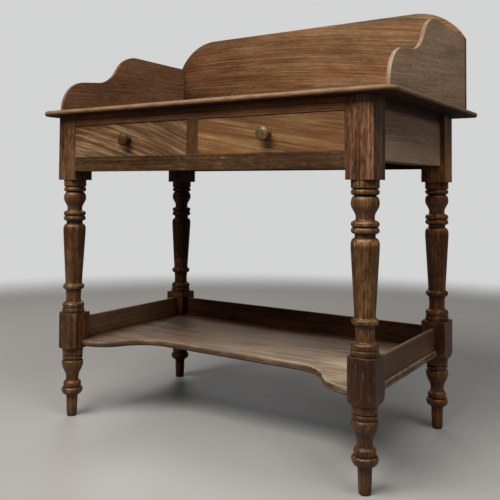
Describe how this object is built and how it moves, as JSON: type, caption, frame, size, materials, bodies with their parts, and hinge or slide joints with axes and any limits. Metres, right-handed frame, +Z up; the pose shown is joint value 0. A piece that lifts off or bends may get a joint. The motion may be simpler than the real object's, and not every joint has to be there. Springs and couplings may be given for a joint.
{
  "type": "washstand",
  "caption": "Wooden washstand with a shaped three-sided gallery, drawers side by side, turned legs and a low shelf with a hollowed front.",
  "frame": {"origin": "on the floor, under the middle of the top board", "axes": "+Z up, the front with the drawers faces -Y, +X to the right for someone facing the front"},
  "size_m": [0.906, 0.54, 0.984],
  "materials": {
    "leg_wood": "waxed mahogany, satin, turned",
    "board_wood": "waxed mahogany, satin, worn pale at the edges",
    "grey_wood": "faded waxed mahogany, satin",
    "front_wood": "figured mahogany, waxed",
    "plain_wood": "plain sawn softwood, unfinished",
    "screw_steel": "bare steel wood screws"
  },
  "bodies": {
    "frame": {"leg_front_left": "leg_wood", "leg_front_right": "leg_wood", "leg_back_left": "leg_wood", "leg_back_right": "leg_wood", "top_board": "board_wood", "gallery_back": "board_wood", "gallery_left": "board_wood", "gallery_right": "grey_wood", "front_top_rail": "board_wood", "front_bottom_rail": "grey_wood", "drawer_divider": "board_wood", "apron_left": "grey_wood", "apron_right": "grey_wood", "apron_back": "plain_wood", "runner_left": "plain_wood", "runner_centre": "plain_wood", "runner_right": "plain_wood", "guide_left": "plain_wood", "guide_centre": "plain_wood", "guide_right": "plain_wood", "kicker_left": "plain_wood", "kicker_centre": "plain_wood", "kicker_right": "plain_wood", "drawer_stops": "plain_wood", "glue_blocks": "plain_wood", "shelf": "board_wood", "shelf_rail_left": "grey_wood", "shelf_rail_right": "grey_wood", "shelf_rail_back": "board_wood", "top_screws": "screw_steel", "gallery_screws": "screw_steel", "shelf_screws": "screw_steel"},
    "left_drawer": {"left_drawer_front": "front_wood", "left_drawer_side_l": "plain_wood", "left_drawer_side_r": "plain_wood", "left_drawer_back": "plain_wood", "left_drawer_bottom": "plain_wood", "left_drawer_knob": "leg_wood"},
    "right_drawer": {"right_drawer_front": "front_wood", "right_drawer_side_l": "plain_wood", "right_drawer_side_r": "plain_wood", "right_drawer_back": "plain_wood", "right_drawer_bottom": "plain_wood", "right_drawer_knob": "leg_wood"}
  },
  "joints": [
    {"name": "left_drawer_slide", "type": "slide", "parent": "frame", "child": "left_drawer", "axis": [0, -1, 0], "range_m": [0, 0.33]},
    {"name": "right_drawer_slide", "type": "slide", "parent": "frame", "child": "right_drawer", "axis": [0, -1, 0], "range_m": [0, 0.33]}
  ]
}
